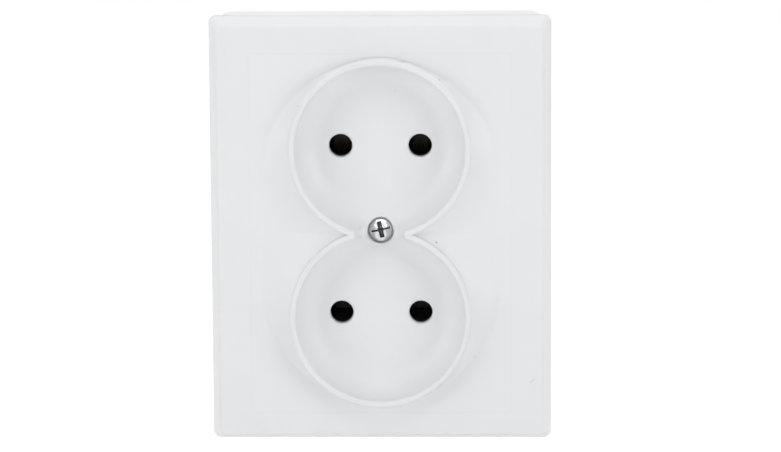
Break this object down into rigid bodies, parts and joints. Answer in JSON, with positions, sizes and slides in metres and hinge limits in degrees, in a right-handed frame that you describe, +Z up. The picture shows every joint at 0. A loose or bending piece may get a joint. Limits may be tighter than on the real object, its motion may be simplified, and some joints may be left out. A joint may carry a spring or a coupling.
{
  "type": "double wall socket",
  "caption": "Flush wall socket: moulded white cover with round plug wells inside one flared rim, rear frame, dark base with contacts and terminals, steel yoke with spreading claws.",
  "frame": {"origin": "in the wall's surface, midway between the two box screws", "axes": "+X to the right, +Y into the wall, +Z up; the front looks to -Y"},
  "size_m": [0.0814, 0.0379, 0.1028],
  "materials": {
    "cover_plastic": "gloss",
    "frame_plastic": "gloss",
    "base_plastic": "matte",
    "zinc_steel": "satin",
    "claw_steel": "satin",
    "brass": "satin"
  },
  "bodies": {
    "socket": {"front_cover": "cover_plastic", "rear_frame": "frame_plastic", "cover_screw": "zinc_steel", "screw_insert": "brass", "contact_cover": "base_plastic", "socket_base": "base_plastic", "mounting_yoke": "zinc_steel", "yoke_screws": "zinc_steel", "left_contact": "brass", "right_contact": "brass", "left_terminal_screws": "zinc_steel", "right_terminal_screws": "zinc_steel", "left_clamp_plates": "zinc_steel", "right_clamp_plates": "zinc_steel", "left_claw_pin": "claw_steel", "right_claw_pin": "claw_steel"},
    "left_claw_screw": {"left_claw_screw": "claw_steel"},
    "left_claw_nut": {"left_claw_nut": "claw_steel"},
    "left_claw": {"left_claw": "claw_steel"},
    "right_claw_screw": {"right_claw_screw": "claw_steel"},
    "right_claw_nut": {"right_claw_nut": "claw_steel"},
    "right_claw": {"right_claw": "claw_steel"}
  },
  "joints": [
    {"name": "left_claw_screw_turn", "type": "hinge", "parent": "socket", "child": "left_claw_screw", "pos_m": [-0.0238, 0, 0], "axis": [0, 1, 0], "range_deg": [0, 1440]},
    {"name": "left_claw_nut_travel", "type": "slide", "parent": "socket", "child": "left_claw_nut", "axis": [0, -1, 0], "range_m": [0, 0.002]},
    {"name": "left_claw_swing", "type": "hinge", "parent": "socket", "child": "left_claw", "pos_m": [-0.0188, 0.0056, 0], "axis": [0, 0, 1], "range_deg": [0, 24]},
    {"name": "right_claw_screw_turn", "type": "hinge", "parent": "socket", "child": "right_claw_screw", "pos_m": [0.0238, 0, 0], "axis": [0, 1, 0], "range_deg": [0, 1440]},
    {"name": "right_claw_nut_travel", "type": "slide", "parent": "socket", "child": "right_claw_nut", "axis": [0, -1, 0], "range_m": [0, 0.002]},
    {"name": "right_claw_swing", "type": "hinge", "parent": "socket", "child": "right_claw", "pos_m": [0.0188, 0.0056, 0], "axis": [0, 0, -1], "range_deg": [0, 24]}
  ],
  "couplings": [
    {"joint": "left_claw_screw_turn", "follows": "left_claw_nut_travel", "rad_per_m": 12566},
    {"joint": "left_claw_swing", "follows": "left_claw_nut_travel", "rad_per_m": 209.44},
    {"joint": "right_claw_screw_turn", "follows": "right_claw_nut_travel", "rad_per_m": 12566},
    {"joint": "right_claw_swing", "follows": "right_claw_nut_travel", "rad_per_m": 209.44}
  ]
}
